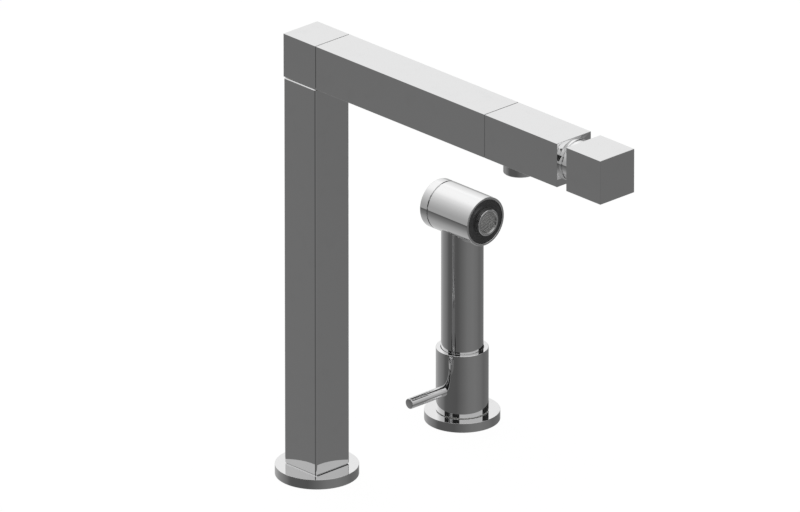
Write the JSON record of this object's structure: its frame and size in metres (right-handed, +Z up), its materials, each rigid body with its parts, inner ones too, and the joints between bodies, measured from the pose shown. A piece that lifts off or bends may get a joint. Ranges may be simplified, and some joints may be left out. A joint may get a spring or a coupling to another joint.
{
  "type": "side spray kitchen faucet",
  "caption": "Square chrome column tap with a swivelling arm and cube valve knob, and a separate lever valve unit holding a lift-out hand spray.",
  "frame": {"origin": "centre of the column's water inlet on the deck plane, on the column's axis", "axes": "+X along the spout towards the knob, +Y towards the hand spray, +Z up"},
  "size_m": [0.3266, 0.1949, 0.329],
  "materials": {
    "chrome": "polished chrome plate",
    "brass": "turned brass, bare",
    "rubber": "matt black rubber",
    "white_plastic": "moulded white plastic",
    "black_plastic": "moulded black plastic, slight sheen",
    "steel": "stainless steel",
    "ceramic": "lapped alumina ceramic"
  },
  "bodies": {
    "base": {"column_flange": "chrome", "column_gasket": "rubber", "column_base_plug": "brass", "column_tube": "chrome", "riser_pipe": "steel", "riser_o_rings": "rubber", "swivel_post": "brass", "swivel_o_rings": "rubber", "swivel_slide_ring": "white_plastic", "side_flange": "chrome", "side_gasket": "rubber", "side_core": "brass", "core_o_rings": "rubber", "guide_bush": "black_plastic", "rest_ring": "rubber", "sleeve_slide_ring": "white_plastic"},
    "spout": {"corner_block": "chrome", "swivel_bush": "white_plastic", "swivel_stop_screw": "steel", "arm_root_plug": "brass", "arm_tube": "chrome", "arm_pipe": "steel", "arm_o_rings": "rubber", "arm_tip_plug": "brass", "valve_block": "chrome", "outlet_ring": "chrome", "aerator_body": "white_plastic", "aerator_mesh": "steel", "aerator_seal": "rubber", "valve_seal": "rubber", "fixed_disc": "ceramic", "valve_housing": "brass", "spindle_washer": "white_plastic", "valve_collar": "chrome"},
    "knob": {"moving_disc": "ceramic", "valve_spindle": "brass", "spindle_o_ring": "rubber", "spindle_clip": "steel", "knob_insert": "white_plastic", "knob_cube": "chrome", "knob_grub_screw": "steel"},
    "lever": {"valve_sleeve": "chrome", "lever_rod": "chrome"},
    "connector": {"swivel_connector": "steel", "connector_o_ring": "rubber"},
    "hand_spray": {"handle_plug": "brass", "handle_clip": "steel", "handle_tube": "chrome", "head_shell": "chrome", "back_cap": "chrome", "back_cap_seal": "rubber", "spray_face": "black_plastic", "nozzle_ring": "chrome", "nozzle_mesh": "steel", "water_channel": "white_plastic"}
  },
  "joints": [
    {"name": "spout_swivel", "type": "hinge", "parent": "base", "child": "spout", "pos_m": [0, 0, 0.297], "axis": [0, 0, 1], "range_deg": [-70, 70]},
    {"name": "knob_turn", "type": "hinge", "parent": "spout", "child": "knob", "pos_m": [0.255, 0, 0.313], "axis": [1, 0, 0], "range_deg": [0, 90]},
    {"name": "lever_turn", "type": "hinge", "parent": "base", "child": "lever", "pos_m": [0, 0.1391, 0.0257], "axis": [0, 0, 1], "range_deg": [0, 90]},
    {"name": "spray_lift", "type": "slide", "parent": "base", "child": "connector", "axis": [0, 0, 1], "range_m": [0, 0.12]},
    {"name": "spray_turn", "type": "hinge", "parent": "connector", "child": "hand_spray", "pos_m": [0, 0.1391, 0.05], "axis": [0, 0, 1], "continuous": true}
  ]
}
